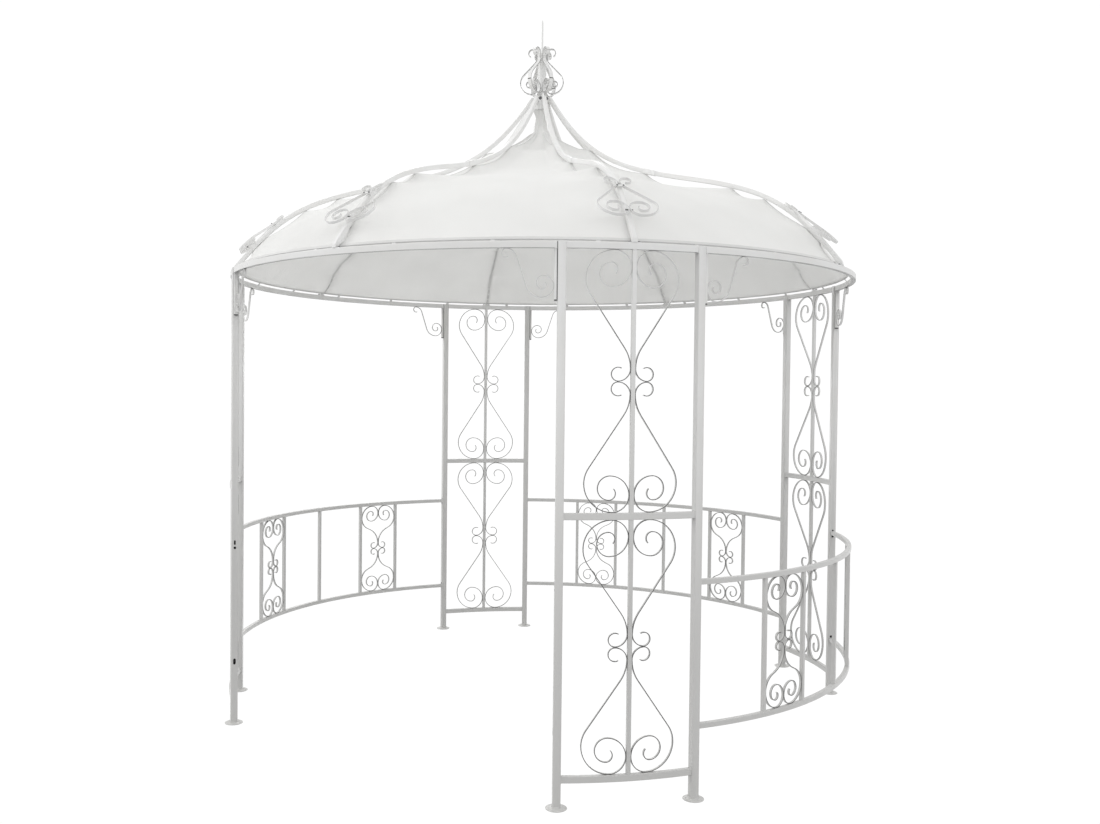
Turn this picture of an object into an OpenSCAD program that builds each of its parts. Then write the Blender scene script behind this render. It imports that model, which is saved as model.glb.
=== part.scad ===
// Round steel garden gazebo: four ladder panels of two posts each, three low curved
// railings, an open entrance facing -Y, a ring beam, eight pagoda ribs under a hub and
// finial, and a cloth canopy hung below the ribs.
// Millimetres. Origin on the ground at the middle of the circle of posts, +Z up.

/* [Plan] */
// radius of the circle through the post centres
ring_r = 1475; // [1200:5:1900]
// angle from the middle of a panel to each of its posts, degrees
post_angle = 10.2; // [8:0.1:14]
// height of the middle of the ring beam
ring_z = 2025; // [1800:5:2300]

/* [Steel sections] */
// side of the square post
post_w = 30; // [25:1:50]
// diameter of the foot plate
foot_d = 80; // [60:1:120]
// thickness of the foot plate
foot_t = 5; // [3:1:10]
// height of the ring beam tube
beam_h = 25; // [20:1:40]
// depth of the ring beam tube, in and out
beam_d = 20; // [15:1:40]
// side of the small square bars
bar_w = 16; // [12:1:20]
// side of the railing rails
rail_w = 20; // [16:1:25]
// thickness of the flat scroll strip
strip_t = 3; // [2:0.5:5]
// depth of the flat scroll strip
strip_d = 10; // [8:1:16]

/* [Panels] */
// height of the middle of the bottom rail of a panel
low_rail_z = 106; // [80:1:200]
// height of the middle of the middle rail of a panel
mid_rail_z = 1055; // [900:5:1200]

// distance from the middle bar of a panel to the belly of its scrolls
scroll_reach = 175; // [120:1:200]

/* [Railings] */
// height of the middle of the railing top rail
guard_top_z = 806; // [700:1:1000]
// height of the middle of the railing bottom rail
guard_low_z = 272; // [150:1:400]
// angle from the middle bar to the inner bar of a scroll frame, degrees
inner_bar_angle = 12.3; // [10:0.1:16]
// angle from the middle bar to the outer bar of a scroll frame, degrees
outer_bar_angle = 21.9; // [18:0.1:26]

/* [Beam brackets] */
// length of the upright bar beside each post under the ring
hanger_l = 188; // [150:1:300]
// thickness of that bar
hanger_w = 12; // [8:1:20]
// depth of the scroll below the ring
bracket_l = 175; // [140:1:220]
// diameter of the curl of the scroll that touches that bar
bracket_curl = 78; // [60:1:90]

/* [Roof] */
// side of the square rib tube
rib_w = 20; // [16:1:30]
// height of the rib line at the hub
rib_top_z = 2939; // [2600:1:3200]
// distance of the rib line from the axis at the hub
rib_top_r = 44; // [30:1:60]
// slope of the rib at the hub
rib_hub_angle = 57; // [40:0.5:65]
// distance of the flattest point of the rib from the axis
rib_waist_r = 790; // [600:5:900]
// height of that point
rib_waist_z = 2469; // [2300:1:2700]
// slope of the rib at that point
rib_waist_angle = 12.5; // [10:0.5:20]
// slope of the rib where it meets the ring
rib_eave_angle = 51.5; // [45:0.5:60]
// height above the ring at which the foot of a rib starts
rib_foot_h = 14; // [10:1:30]
// diameter of the hub
hub_d = 84; // [60:1:100]
// height of the hub
hub_h = 62; // [40:1:100]
// height of the top of the hub above the ends of the rib lines
hub_rise = 6; // [2:1:20]
// diameter of the boss on the hub
boss_d = 12; // [12:1:60]
// height of that boss
boss_h = 18; // [4:1:40]
// width of the pair of scrolls on each rib
crest_w = 234; // [180:1:260]
// length of the pair of scrolls on each rib
crest_l = 262; // [180:1:300]

/* [Finial] */
// radius of the belly of the finial
finial_r = 107; // [80:1:150]
// height of the scrolls of the finial
finial_h = 222; // [180:1:300]
// number of the scrolls of the finial
finial_n = 6; // [4:1:10]
// angle from +X to the first of them, degrees
finial_turn = 27; // [0:1:60]
// width of the flat bar of the finial
finial_bar = 20; // [10:1:24]
// diameter of the spike
spike_d = 9; // [6:1:16]
// height of the spike above the scrolls
spike_l = 143; // [80:1:200]
// length of its point
tip_l = 14; // [8:1:30]
// diameter of the collar between the necks of the scrolls
collar_d = 49; // [30:1:60]
// height of that collar
collar_h = 22; // [12:1:40]
// diameter of the tube that the scrolls stand round
stem_d = 42; // [24:1:46]
// gap between the boss of the hub and that tube
stem_gap = 18; // [6:1:40]
// width of the point of the spike
tip_d = 2; // [1:0.5:4]

/* [Canopy] */
// thickness of the canopy
cloth_t = 3; // [2:0.5:6]
// distance from the rib line down to the cloth
cloth_drop = 36; // [20:1:60]
// clearance between the canopy and the hub
cloth_gap = 4; // [1:0.5:10]
// distance from the inner face of the ring beam in to the hem
hem_in = 13; // [8:1:30]
// height of the hem above the ring beam
hem_up = 14; // [8:1:30]

/* [Hidden] */

steel = [0.93, 0.93, 0.92];
cloth = [0.96, 0.96, 0.95];
bay_half = 45 - post_angle;
post_edge = asin((post_w / 2) / ring_r);
hanger_a = 2 * asin((hanger_w / 2) / ring_r);
strip_touch = 0.2;
strip_clear = 0.15;
turn_step = 22.5;
post_top = ring_z + beam_h / 2;
ring_top = ring_z + beam_h / 2;

// ---------- plane curves ----------
// A trail is a chain of arcs and lines that run smoothly into one another.
// Each step is [radius, turn], left turns positive, or [length, 0] for a line.
function turn_end(x, y, h, r, a) = a == 0
    ? [x + r * cos(h), y + r * sin(h)]
    : [x + sign(a) * r * (sin(h + a) - sin(h)), y - sign(a) * r * (cos(h + a) - cos(h))];

function trail(steps, x, y, h, i = 0) = i >= len(steps) ? [] : let (
    r = steps[i][0],
    a = steps[i][1],
    n = a == 0 ? 1 : ceil(abs(a) / turn_step),
    e = turn_end(x, y, h, r, a)
) concat(
    [for (k = [1:n]) let (p = a == 0 ? e : turn_end(x, y, h, r, a * k / n)) [p[0], p[1], h + a * k / n]],
    trail(steps, e[0], e[1], h + a, i + 1)
);

function whole_trail(steps, x, y, h) = concat([[x, y, h]], trail(steps, x, y, h));

function side(p, d) = [p[0] - d * sin(p[2]), p[1] + d * cos(p[2])];

// flat strip along a trail, thick in the plane and deep across it
module strip(steps, x, y, h, thick, deep) {
    pts = whole_trail(steps, x, y, h);
    n = len(pts);
    linear_extrude(height = deep, center = true)
        polygon(concat(
            [for (i = [0:n - 1]) side(pts[i], thick / 2)],
            [for (i = [0:n - 1]) side(pts[n - 1 - i], -thick / 2)]
        ));
}

// S scroll: a spiral that rests on y = 0, a belly out to x = reach, a neck at x = neck and
// a small open curl whose top is at y = high.  Its shape is a list of shares of its width,
// reach - neck: the five radii of the spiral from the inside out, the bends out of the belly
// and into the neck, the straight run at the neck, the first and the later radius of the
// curl, and last the turns of the curl after the first, in degrees.
common_shape = [[0.145, 0.253, 0.277, 0.422, 0.373], 0.6, 0.81, 0, 0.27, 0.15, [90, 90, 30]];
finial_shape = [[0.12, 0.17, 0.17, 0.47, 0.30], 0.7, 0.43, 0.3, 0.27, 0.24, [90, 65]];

module s_scroll(reach, neck, high, ease = 1, curls = 0, deep = strip_d, shape = common_shape) {
    k = curls == 0 ? reach - neck : curls;
    s = shape[0];
    belly_in = 1 - s[4];
    belly_out = ease * shape[1];
    neck_bend = ease * shape[2];
    hold = shape[3];
    curl_in = shape[4];
    curl_out = shape[5];
    bend = (belly_out + neck_bend) * k;
    rise = high - k * (belly_in + hold + curl_in);
    shift = reach - neck;
    line_l = sqrt(pow(shift - bend, 2) + pow(rise, 2) - bend * bend);
    lean = atan2(shift - bend, rise) + atan2(bend, line_l);
    x0 = reach - k * (belly_in + s[0] * sin(45) + s[1] - s[2] - s[3] + s[4]);
    y0 = -k * (-s[0] * (1 + sin(45)) + s[1] + s[2] - s[3] - s[4]);
    strip(concat(
        [[k * s[0], 135]],
        [for (i = [1:4]) [k * s[i], 90]],
        [[k * belly_in, 90]],
        [[k * belly_out, lean]],
        [[line_l, 0]],
        [[k * neck_bend, -lean]],
        hold == 0 ? [] : [[k * hold, 0]],
        [[k * curl_in, -90]],
        [for (a = shape[6]) [k * curl_out, -a]]
    ), x0, y0, 225, strip_t, deep);
}

// ---------- things that follow the circle ----------
module at(az, r = ring_r) {
    rotate([0, 0, az])
        translate([r, 0, 0])
            children();
}

// upright plane through two points of the circle, x along the chord from the first to the second
module chord(from, to) {
    mid = (from + to) / 2;
    s = sign(to - from);
    translate([ring_r * cos(from), ring_r * sin(from), 0])
        rotate([0, 0, mid + s * 90])
            rotate([90, 0, 0])
                children();
}

module arc_bar(from, to, z, high, deep) {
    rotate([0, 0, from])
        rotate_extrude(angle = to - from)
            translate([ring_r - deep / 2, z - high / 2])
                square([deep, high]);
}

// ---------- panels ----------
module post(az) {
    color(steel) {
        at(az) {
            translate([-post_w / 2, -post_w / 2, foot_t / 2])
                cube([post_w, post_w, post_top - foot_t / 2]);
            cylinder(d = foot_d, h = foot_t, $fn = 64);
        }
    }
}

module panel_rails(az) {
    a = post_angle - post_edge;
    color(steel) {
        arc_bar(az - a, az + a, low_rail_z, beam_h, rail_w);
        arc_bar(az - a, az + a, mid_rail_z, beam_h, rail_w);
        arc_bar(az - a, az + a, ring_z, beam_h, rail_w);
        at(az)
            translate([-bar_w / 2, -bar_w / 2, low_rail_z])
                cube([bar_w, bar_w, ring_z - low_rail_z]);
    }
}

module panel_cell_scrolls(az, z0, z1) {
    half = (z1 - z0) / 2;
    neck = bar_w / 2 + strip_t / 2 - strip_touch;
    high = half - strip_t + strip_touch - strip_clear;
    for (s = [-1, 1]) {
        chord(az, az + s * post_angle) {
            translate([0, z0 + strip_t / 2 - strip_touch, 0])
                s_scroll(scroll_reach, neck, high);
            translate([0, z1 - strip_t / 2 + strip_touch, 0])
                mirror([0, 1, 0])
                    s_scroll(scroll_reach, neck, high);
        }
    }
}

module panel_scrolls(az) {
    color(steel) {
        panel_cell_scrolls(az, low_rail_z + beam_h / 2, mid_rail_z - beam_h / 2);
        panel_cell_scrolls(az, mid_rail_z + beam_h / 2, ring_z - beam_h / 2);
    }
}

// ---------- railings ----------
module railing(az) {
    a = bay_half - post_edge;
    color(steel) {
        arc_bar(az - a, az + a, guard_top_z, rail_w, rail_w);
        arc_bar(az - a, az + a, guard_low_z, rail_w, rail_w);
        for (b = [-outer_bar_angle, -inner_bar_angle, 0, inner_bar_angle, outer_bar_angle])
            at(az + b)
                translate([-bar_w / 2, -bar_w / 2, guard_low_z])
                    cube([bar_w, bar_w, guard_top_z - guard_low_z]);
    }
}

module railing_scrolls(az) {
    high = (guard_top_z - guard_low_z - rail_w) / 2 - strip_t + strip_touch - strip_clear;
    width = 2 * ring_r * sin((outer_bar_angle - inner_bar_angle) / 2);
    reach = width / 2 - bar_w / 2 - strip_t / 2 + strip_touch;
    neck = strip_t / 2 + strip_clear;
    low = guard_low_z + rail_w / 2 + strip_t / 2 - strip_touch;
    top = guard_top_z - rail_w / 2 - strip_t / 2 + strip_touch;
    color(steel)
        for (e = [-1, 1])
            chord(az + e * inner_bar_angle, az + e * outer_bar_angle)
                translate([width / 2, 0, 0])
                    for (s = [0, 1]) {
                        mirror([s, 0, 0])
                            translate([0, low, 0])
                                s_scroll(reach, neck, high);
                        mirror([s, 0, 0])
                            translate([0, top, 0])
                                mirror([0, 1, 0])
                                    s_scroll(reach, neck, high);
                    }
}

// ---------- ring beam between the panels ----------
module beam(az) {
    a = bay_half - post_edge;
    color(steel) {
        arc_bar(az - a, az + a, ring_z, beam_h, beam_d);
        for (s = [-1, 1])
            rotate([0, 0, az + s * (a - hanger_a / 2)])
                translate([ring_r - bar_w / 2, -hanger_w / 2, ring_z - beam_h / 2 - hanger_l])
                    cube([bar_w, hanger_w, hanger_l + beam_h / 2]);
    }
}

// corner scroll: a spiral against the upright bar, a line that rises at bracket_angle and a
// small curl under the ring.  The radii are shares of the diameter of the spiral.
bracket_angle = 72;
bracket_spiral = [0.18, 0.28, 0.33, 0.46, 0.54];
bracket_in = 0.77;
bracket_out = 0.51;
bracket_end = 0.2;

module bracket(curl, high) {
    s = bracket_spiral;
    line_l = (high - curl * (bracket_in + bracket_out) * (1 - cos(bracket_angle))) / sin(bracket_angle);
    x0 = curl * (s[2] + s[3] - s[0] * sin(45) - s[1]);
    y0 = curl * (s[0] * (1 + sin(45)) - s[1] - s[2] + s[3] + s[4]);
    strip(concat(
        [[curl * s[0], 135]],
        [for (i = [1:4]) [curl * s[i], 90]],
        [[curl * bracket_in, bracket_angle]],
        [[line_l, 0]],
        [[curl * bracket_out, -bracket_angle]],
        [for (i = [1:2]) [curl * bracket_end, -90]],
        [[curl * bracket_end, -30]]
    ), x0, y0, 225, strip_t, strip_d);
}

module brackets(az) {
    a = bay_half - post_edge - hanger_a;
    lean_angle = 7;
    color(steel)
        for (s = [-1, 1])
            chord(az + s * a, az + s * (a - lean_angle))
                translate([strip_t / 2 - strip_touch, ring_z - beam_h / 2 - bracket_l, 0])
                    bracket(bracket_curl, bracket_l - strip_t / 2 + strip_touch);
}

// ---------- roof ----------
// The rib line is two smooth curves that meet at the waist, from the hub to just above the ring.
rib_hub_point = [rib_top_r, rib_top_z];
rib_waist = [rib_waist_r, rib_waist_z];
rib_end = [ring_r, ring_top + rib_foot_h];
rib_parts = 10;

function down(angle) = [cos(angle), -sin(angle)];
function weights(t) = [pow(1 - t, 3), 3 * t * pow(1 - t, 2), 3 * t * t * (1 - t), t * t * t];
function slopes(t) = [pow(1 - t, 2), 2 * t * (1 - t), t * t];

// point and heading at t of the curve from a to b that leaves at angle a1 and arrives at angle b1
function rib_curve(a, a1, b, b1, pull_a, pull_b, t) = let (
    l = norm(b - a),
    c = [a, a + pull_a * l * down(a1), b - pull_b * l * down(b1), b],
    p = weights(t) * c,
    d = slopes(t) * [c[1] - c[0], c[2] - c[1], c[3] - c[2]]
) [p[0], p[1], atan2(d[1], d[0])];

function upper_rib(t) = rib_curve(rib_hub_point, rib_hub_angle, rib_waist, rib_waist_angle, 0.42, 0.43, t);
function lower_rib(t) = rib_curve(rib_waist, rib_waist_angle, rib_end, rib_eave_angle, 0.47, 0.42, t);

rib_line = concat(
    [for (i = [0:rib_parts]) upper_rib(i / rib_parts)],
    [for (i = [1:rib_parts]) lower_rib(i / rib_parts)]
);

module rib(az) {
    n = len(rib_line);
    color(steel)
        rotate([0, 0, az])
            difference() {
                rotate([90, 0, 0])
                    linear_extrude(height = rib_w, center = true)
                        polygon(concat(
                            [for (i = [0:n - 1]) side(rib_line[i], rib_w / 2)],
                            [[ring_r + rib_w / 2, ring_top]],
                            [[ring_r - rib_w / 2, ring_top]],
                            [for (i = [1:n - 1]) side(rib_line[n - 1 - i], -rib_w / 2)]
                        ));
                translate([0, 0, rib_top_z - hub_h])
                    cylinder(d = hub_d, h = 2 * hub_h, $fn = 64);
            }
}

module hub() {
    color(steel) {
        translate([0, 0, rib_top_z + hub_rise - hub_h])
            cylinder(d = hub_d, h = hub_h, $fn = 64);
        translate([0, 0, rib_top_z + hub_rise])
            cylinder(d = boss_d, h = boss_h, $fn = 48);
    }
}

hub_top = rib_top_z + hub_rise + boss_h;

// pair of scrolls in one flat plane, resting on the outer face of each rib at their necks
crest_at = lower_rib(0.665);
crest_neck = 0.75;

module rib_crest(az) {
    neck = rib_w / 4;
    reach = crest_w / 2 - strip_t / 2;
    k = reach - strip_t / 2 - strip_clear;
    rotate([0, 0, az])
        translate([crest_at[0], 0, crest_at[1]])
            rotate([0, -crest_at[2], 0])
                rotate([0, 0, 90])
                    translate([0, -crest_l * crest_neck, rib_w / 2 + strip_d / 2 - strip_touch])
                        for (s = [0, 1])
                            mirror([s, 0, 0])
                                s_scroll(reach, neck, crest_l - strip_t, 0.5, k);
}

module rib_scrolls() {
    color(steel)
        for (i = [0:7])
            rib_crest(i * 45);
}

module finial_scrolls() {
    reach = finial_r - strip_t / 2;
    neck = collar_d / 2 + strip_t / 2 - strip_touch;
    k = reach - collar_d / 2 - strip_t / 2;
    color(steel)
        for (i = [0:finial_n - 1])
            rotate([0, 0, finial_turn + i * 360 / finial_n])
                translate([0, 0, hub_top + strip_t / 2 - strip_touch])
                    rotate([90, 0, 0])
                        s_scroll(reach, neck, finial_h - strip_t, 1, k, finial_bar, finial_shape);
}

collar_z = hub_top + finial_h * 0.68;

// rod in a tube with a collar that the scrolls are fixed to, and a turned point
module finial_spike() {
    color(steel) {
        translate([0, 0, hub_top])
            cylinder(d = spike_d, h = finial_h + spike_l - tip_l, $fn = 32);
        translate([0, 0, hub_top + stem_gap])
            cylinder(d = stem_d, h = collar_z + collar_h / 2 - hub_top - stem_gap, $fn = 48);
        translate([0, 0, collar_z])
            cylinder(d = collar_d, h = collar_h, $fn = 48);
        translate([0, 0, hub_top + finial_h + spike_l - tip_l])
            cylinder(d1 = spike_d, d2 = tip_d, h = tip_l, $fn = 32);
    }
}

// ---------- canopy ----------
hem_r = ring_r - beam_d / 2 - hem_in;
hem_z = ring_top + hem_up + cloth_t;
// a smooth run out to the hem over this distance
hem_run = 40;
crown = [hub_d / 2 + cloth_gap, rib_top_z - 2 * cloth_drop];
cloth_top = concat(
    [crown],
    [for (p = rib_line) if (p[0] > hub_d && p[0] < hem_r - hem_run) side(p, -cloth_drop)],
    [[hem_r, hem_z]]
);

module canopy() {
    n = len(cloth_top);
    color(cloth)
        rotate_extrude($fn = 128)
            polygon(concat(
                cloth_top,
                [for (i = [0:n - 1]) cloth_top[n - 1 - i] - [0, cloth_t]]
            ));
}

// ---------- every node ----------
quarter = 90;
front_az = -quarter / 2;
right_az = front_az + quarter;
back_az = right_az + quarter;
left_az = back_az + quarter;

module front_left_post() { post(front_az - post_angle); }
module front_right_post() { post(front_az + post_angle); }
module front_panel_rails() { panel_rails(front_az); }
module front_panel_scrolls() { panel_scrolls(front_az); }
module right_front_post() { post(right_az - post_angle); }
module right_back_post() { post(right_az + post_angle); }
module right_panel_rails() { panel_rails(right_az); }
module right_panel_scrolls() { panel_scrolls(right_az); }
module back_right_post() { post(back_az - post_angle); }
module back_left_post() { post(back_az + post_angle); }
module back_panel_rails() { panel_rails(back_az); }
module back_panel_scrolls() { panel_scrolls(back_az); }
module left_back_post() { post(left_az - post_angle); }
module left_front_post() { post(left_az + post_angle); }
module left_panel_rails() { panel_rails(left_az); }
module left_panel_scrolls() { panel_scrolls(left_az); }
module right_railing() { railing(0); }
module right_railing_scrolls() { railing_scrolls(0); }
module back_railing() { railing(quarter); }
module back_railing_scrolls() { railing_scrolls(quarter); }
module left_railing() { railing(2 * quarter); }
module left_railing_scrolls() { railing_scrolls(2 * quarter); }
module entrance_beam() { beam(-quarter); }
module entrance_brackets() { brackets(-quarter); }
module right_beam() { beam(0); }
module right_brackets() { brackets(0); }
module back_beam() { beam(quarter); }
module back_brackets() { brackets(quarter); }
module left_beam() { beam(2 * quarter); }
module left_brackets() { brackets(2 * quarter); }
module rib_front() { rib(-quarter); }
module rib_front_right() { rib(front_az); }
module rib_right() { rib(0); }
module rib_back_right() { rib(right_az); }
module rib_back() { rib(quarter); }
module rib_back_left() { rib(back_az); }
module rib_left() { rib(2 * quarter); }
module rib_front_left() { rib(left_az); }

front_left_post();
front_right_post();
front_panel_rails();
front_panel_scrolls();
right_front_post();
right_back_post();
right_panel_rails();
right_panel_scrolls();
back_right_post();
back_left_post();
back_panel_rails();
back_panel_scrolls();
left_back_post();
left_front_post();
left_panel_rails();
left_panel_scrolls();
right_railing();
right_railing_scrolls();
back_railing();
back_railing_scrolls();
left_railing();
left_railing_scrolls();
entrance_beam();
entrance_brackets();
right_beam();
right_brackets();
back_beam();
back_brackets();
left_beam();
left_brackets();
rib_front();
rib_front_right();
rib_right();
rib_back_right();
rib_back();
rib_back_left();
rib_left();
rib_front_left();
rib_scrolls();
hub();
finial_scrolls();
finial_spike();
canopy();
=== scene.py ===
# %% [markdown]
# # A garden gazebo of white coated steel with a cloth canopy
# The frame is a handful of simple stocks: square tube for posts, rails and ribs, and flat bar
# bent into S scrolls.  Everything is bolted or tacked together and coated white.  The lesson
# builds each stock once, sets it in place as often as the gazebo needs it, and ends with the
# canopy, which is one sewn sheet tied up under the ribs.

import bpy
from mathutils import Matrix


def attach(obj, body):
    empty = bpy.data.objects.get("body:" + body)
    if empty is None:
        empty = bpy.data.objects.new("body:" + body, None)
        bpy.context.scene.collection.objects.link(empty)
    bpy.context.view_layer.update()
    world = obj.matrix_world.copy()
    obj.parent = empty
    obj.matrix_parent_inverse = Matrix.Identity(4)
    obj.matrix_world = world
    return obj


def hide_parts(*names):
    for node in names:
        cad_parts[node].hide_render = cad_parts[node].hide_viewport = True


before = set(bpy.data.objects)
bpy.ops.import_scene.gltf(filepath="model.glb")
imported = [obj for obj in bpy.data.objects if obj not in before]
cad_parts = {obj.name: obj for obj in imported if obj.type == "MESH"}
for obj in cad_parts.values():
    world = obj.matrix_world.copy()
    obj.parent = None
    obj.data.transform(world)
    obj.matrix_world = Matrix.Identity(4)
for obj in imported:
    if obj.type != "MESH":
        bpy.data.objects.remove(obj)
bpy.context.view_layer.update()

# %% The tools of the bench
from math import atan2, ceil, cos, degrees, hypot, pi, radians, sin, sqrt

import bmesh
import bpy
from mathutils import Matrix, Vector

scene = bpy.context.scene
scene.view_settings.view_transform = "Standard"


def placed(name, data):
    """new object in the scene"""
    made = bpy.data.objects.new(name, data)
    scene.collection.objects.link(made)
    return made


def turn(axis, angle):
    return Matrix.Rotation(radians(angle), 4, axis)


def shift(x, y, z):
    return Matrix.Translation((x, y, z))


print("Blender", bpy.app.version_string)

# %% [markdown]
# ## Camera
# The gazebo is seen from outside, to the right of its entrance, at the eye height of a person
# who stands.  A lens near 35 mm keeps the near panel large and lets the far side close up.
# The camera is set by a matrix: turned about the upright first, then tipped, then rolled.

# %% Camera
eye = Vector((2.764, -4.461, 1.508))
look_left, look_down, look_roll = 33.828, 1.349, 0.540
camera = placed("camera", bpy.data.cameras.new("camera"))
scene.camera = camera
camera.data.sensor_fit = "HORIZONTAL"
camera.data.sensor_width = 36.0
camera.data.lens = 34.55
camera.data.shift_x, camera.data.shift_y = 0.0447, 0.0020
camera.data.clip_end = 60.0
camera.matrix_world = shift(*eye) @ turn("Z", look_left) @ turn("X", 90 - look_down) @ turn("Z", look_roll)
print("camera", round(hypot(eye.x, eye.y), 2), "m from the middle")

# %% [markdown]
# ## Floor, backdrop and light
# White on white is hard to light: the object must keep its greys while the ground behind it
# stays clean.  The floor is a plain white sheet with one shade for the camera, which is just
# past full white, and another for light and gloss.  The sky does the same.  A ground that is
# much brighter than white would swallow thin bars in front of it: each edge is a mix of bar and
# ground, and the surplus light would wash the bar out of that mix.

# %% A short way to write node trees
def tree_of(owner):
    """empties the node tree of a material or a world, and gives a short way to add a node.
    An input is named with _ for a space, or i0, i1 and so on by its number."""
    owner.use_nodes = True
    tree = owner.node_tree
    tree.nodes.clear()

    def add(kind, operation=None, **inputs):
        node = tree.nodes.new(kind)
        if operation:
            node.operation = operation
        for key, value in inputs.items():
            socket = node.inputs[int(key[1:]) if key[1:].isdigit() else key.replace("_", " ")]
            if isinstance(value, bpy.types.NodeSocket):
                tree.links.new(value, socket)
            else:
                socket.default_value = value
        return node

    return add


print("node helper ready")

# %% Floor that reads as white paper
paper_seen, paper_glow = 1.03, 0.80
floor_half, floor_drop = 14.0, 0.0008


def paper(name):
    """white ground: even to look at, and topped up with its own light in gloss and through cloth"""
    mat = bpy.data.materials.new(name)
    add = tree_of(mat)
    ray = add("ShaderNodeLightPath").outputs
    plain = add("ShaderNodeBsdfDiffuse", Color=(0.48, 0.48, 0.48, 1)).outputs[0]
    glow = add("ShaderNodeEmission", Strength=paper_glow).outputs[0]
    topped_up = add("ShaderNodeAddShader", i0=plain, i1=glow).outputs[0]
    shiny = add("ShaderNodeMath", "MAXIMUM", i0=ray["Is Glossy Ray"],
                i1=ray["Is Transmission Ray"]).outputs[0]
    ground = add("ShaderNodeMixShader", i0=shiny, i1=plain, i2=topped_up).outputs[0]
    sight = add("ShaderNodeEmission", Strength=paper_seen).outputs[0]
    both = add("ShaderNodeMixShader", i0=ray["Is Camera Ray"], i1=ground, i2=sight).outputs[0]
    add("ShaderNodeOutputMaterial", Surface=both)
    return mat


bm = bmesh.new()
bmesh.ops.create_grid(bm, x_segments=1, y_segments=1, size=floor_half)
bmesh.ops.translate(bm, vec=(0, 0, -floor_drop), verts=bm.verts)
floor = placed("floor", bpy.data.meshes.new("floor"))
bm.to_mesh(floor.data)
bm.free()
floor.data.materials.append(paper("floor paper"))
print("floor", 2 * floor_half, "m square")

# %% Sky: white to look at, plain grey as a lamp
sky_level, white = 0.90, (1, 1, 1, 1)
scene.world = bpy.data.worlds.new("studio")
add = tree_of(scene.world)
ray = add("ShaderNodeLightPath").outputs
seen = add("ShaderNodeMath", "MAXIMUM", i0=ray["Is Camera Ray"], i1=ray["Is Transmission Ray"]).outputs[0]
sky_lamp = add("ShaderNodeBackground", Color=white, Strength=sky_level).outputs[0]
sky_seen = add("ShaderNodeBackground", Color=white, Strength=paper_seen).outputs[0]
sky = add("ShaderNodeMixShader", i0=seen, i1=sky_lamp, i2=sky_seen).outputs[0]
add("ShaderNodeOutputWorld", Surface=sky)
print("sky level", sky_level)

# %% Soft lamps
lamp_side = 5.0


def soft_lamp(name, place, aim_z, watts):
    """square lamp that looks at a height on the axis"""
    lamp = placed(name, bpy.data.lights.new(name, "AREA"))
    lamp.data.shape = "SQUARE"
    lamp.data.size = lamp_side
    lamp.data.energy = watts
    way = Vector((0, 0, aim_z)) - Vector(place)
    lamp.matrix_world = shift(*place) @ way.to_track_quat("-Z", "Y").to_matrix().to_4x4()


soft_lamp("left", (-6.0, -5.5, 6.5), 1.2, 185)
soft_lamp("right", (7.5, -3.0, 6.0), 1.2, 50)
soft_lamp("back", (-5.5, 6.0, 6.0), 1.8, 160)

# %% [markdown]
# ## Finishes
# The steel is sprayed with white powder and baked.  Close up such a coat is not flat: it has
# a fine orange skin, it is a touch thicker and warmer in places, and rain leaves a faint grey
# film near the ground.  Painted shade also darkens the coat towards the ground and on sides
# that look down.  A coat like this could be one colour with one roughness, but then the
# long plain tubes look like plastic film, so colour, gloss and skin each get their own noise,
# all read from Object coordinates in metres.

# %% Small helpers for finishes
def noise(add, place, scale, detail, rough=0.5):
    return add("ShaderNodeTexNoise", Vector=place, Scale=scale, Detail=detail, Roughness=rough).outputs["Fac"]


def ramp(add, factor, low, high, to_low=0.0, to_high=1.0):
    """smooth step of a value, from to_low at low to to_high at high"""
    node = add("ShaderNodeMapRange", Value=factor, From_Min=low, From_Max=high, To_Min=to_low, To_Max=to_high)
    node.interpolation_type = "SMOOTHSTEP"
    return node.outputs["Result"]


def blend_colour(add, factor, first, second):
    """colour between two, by a factor; a mix node keeps its colours on inputs 6 and 7"""
    node = add("ShaderNodeMix", i0=factor)
    node.data_type = "RGBA"
    for socket, value in zip(node.inputs[6:8], (first, second)):
        if isinstance(value, bpy.types.NodeSocket):
            node.id_data.links.new(value, socket)
        else:
            socket.default_value = value
    return node.outputs[2]


print("helpers for finishes ready")

# %% White powder coat
coat_white = (0.85, 0.852, 0.846, 1)
coat_warm = (0.826, 0.823, 0.81, 1)
speck_grey = (0.70, 0.70, 0.695, 1)
rain_film = (0.60, 0.595, 0.575, 1)
underside_shade = (0.22, 0.22, 0.217, 1)
# noise scales per metre, and the heights of painted shade low down, painted light under the roof and rain
# film
drift_scale, mottle_scale, skin_scale, skin_depth = 7.0, 85.0, 620.0, 0.00012
low_shade_none, low_shade_full, roof_low, roof_high, rain_none = 1.95, 0.5, 1.76, 1.86, 0.16
rain_share, front_y = 0.42, 0.3


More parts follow.
